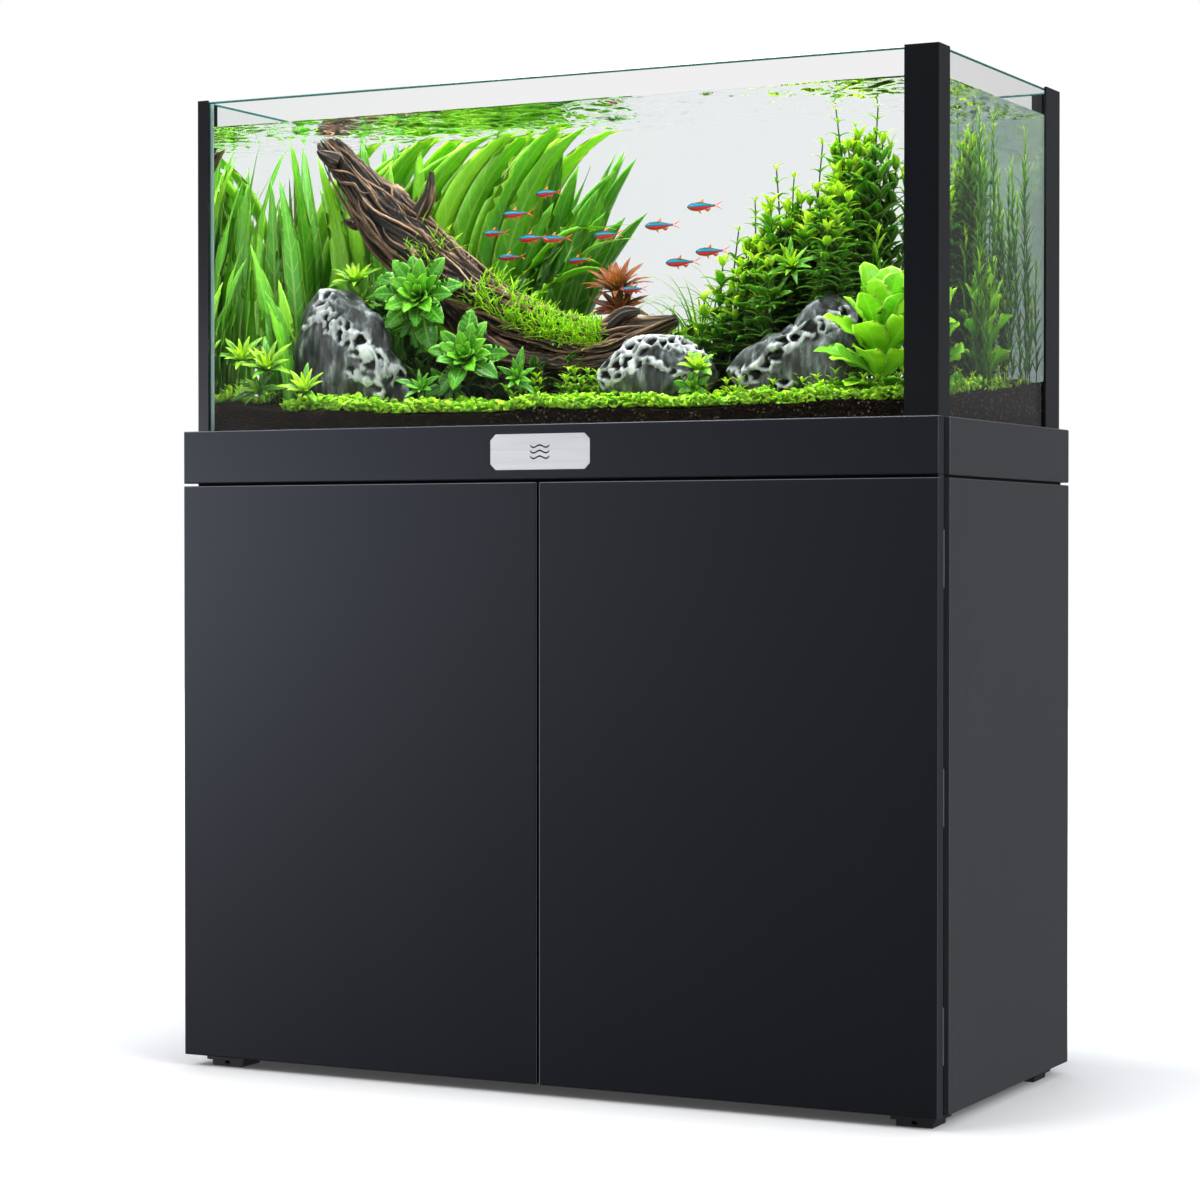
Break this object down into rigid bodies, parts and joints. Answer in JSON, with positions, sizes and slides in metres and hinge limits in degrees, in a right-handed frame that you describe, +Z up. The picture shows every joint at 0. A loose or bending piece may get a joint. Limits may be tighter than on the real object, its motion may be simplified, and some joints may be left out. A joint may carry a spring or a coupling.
{
  "type": "planted aquarium on cabinet stand",
  "caption": "Rectangular planted glass aquarium with water, fish and corner posts, standing on a low-gloss graphite cabinet with handleless hinged doors.",
  "frame": {"origin": "on the floor under the middle of the object", "axes": "+X to the right seen from the front, +Y from the front to the rear, +Z up"},
  "size_m": [1, 0.45, 1.204],
  "materials": {
    "front_lacquer": "satin graphite lacquer on board",
    "side_lacquer": "satin graphite lacquer on board",
    "black_board": "black melamine-faced particle board",
    "foot_plastic": "moulded black plastic, fine texture",
    "black_anodised": "black anodised extrusion, satin",
    "zinc_steel": "bright zinc plate",
    "black_steel": "black powder coat",
    "latch_plastic": "moulded black plastic",
    "foam": "closed-cell foam sheet",
    "brushed_plate": "brushed aluminium with a bright cut rim",
    "black_enamel": "black enamel inlay",
    "float_glass": "clear float glass, polished green edges",
    "clear_silicone": "clear silicone",
    "water": "clear water",
    "soil": "dark granular aquarium soil",
    "driftwood": "weathered driftwood, deep grain",
    "rock": "dark limestone with pale pitted ridges",
    "fish_skin": "iridescent blue stripe over red",
    "red_leaf": "red-brown leaves",
    "green_leaf": "living green leaves"
  },
  "bodies": {
    "cabinet": {"base_board": "black_board", "base_rails": "black_anodised", "broadleaf_plant_right": "green_leaf", "carcass_back": "black_board", "carcass_bottom": "black_board", "carcass_screws": "zinc_steel", "carcass_side_left": "black_board", "carcass_side_right": "black_board", "carcass_top": "black_board", "carpet_plants": "green_leaf", "centre_divider": "black_board", "corner_post_front_left": "black_anodised", "corner_post_front_right": "black_anodised", "corner_post_rear_left": "black_anodised", "corner_post_rear_right": "black_anodised", "driftwood": "driftwood", "fascia_front": "front_lacquer", "feet": "foot_plastic", "fish": "fish_skin", "foot_screws": "zinc_steel", "glass_back": "float_glass", "glass_bottom": "float_glass", "glass_front": "float_glass", "glass_left": "float_glass", "glass_right": "float_glass", "hinge_leaves_carcass_left": "black_steel", "hinge_leaves_carcass_right": "black_steel", "hinge_pins": "black_steel", "hinge_screws_carcass": "zinc_steel", "latch_housings": "latch_plastic", "levelling_mat": "foam", "nameplate": "brushed_plate", "nameplate_emblem": "black_enamel", "rear_trim": "side_lacquer", "red_stem_plant": "red_leaf", "rock_centre": "rock", "rock_left": "rock", "rock_right": "rock", "rosette_plants": "green_leaf", "shelf": "black_board", "shelf_pins": "zinc_steel", "side_cladding_left": "side_lacquer", "side_cladding_right": "side_lacquer", "side_trims": "side_lacquer", "silicone_seams": "clear_silicone", "stem_plants_right": "green_leaf", "strap_plants_centre": "green_leaf", "strap_plants_left": "green_leaf", "substrate": "soil", "water": "water"},
    "left_door": {"door_left": "front_lacquer", "hinge_leaves_door_left": "black_steel", "hinge_screws_door_left": "zinc_steel", "latch_strike_left": "zinc_steel"},
    "right_door": {"door_right": "front_lacquer", "hinge_leaves_door_right": "black_steel", "hinge_screws_door_right": "zinc_steel", "latch_strike_right": "zinc_steel"},
    "left_latch_plunger": {"latch_plunger_left": "latch_plastic"},
    "right_latch_plunger": {"latch_plunger_right": "latch_plastic"}
  },
  "joints": [
    {"name": "left_door_hinge", "type": "hinge", "parent": "cabinet", "child": "left_door", "pos_m": [-0.496, -0.2034, 0.368], "axis": [0, 0, -1], "range_deg": [0, 110]},
    {"name": "right_door_hinge", "type": "hinge", "parent": "cabinet", "child": "right_door", "pos_m": [0.496, -0.2034, 0.368], "axis": [0, 0, 1], "range_deg": [0, 110]},
    {"name": "left_latch_push", "type": "slide", "parent": "cabinet", "child": "left_latch_plunger", "axis": [0, 1, 0], "range_m": [0, 0.0025], "stiffness_N_per_m": 400},
    {"name": "right_latch_push", "type": "slide", "parent": "cabinet", "child": "right_latch_plunger", "axis": [0, 1, 0], "range_m": [0, 0.0025], "stiffness_N_per_m": 400}
  ]
}
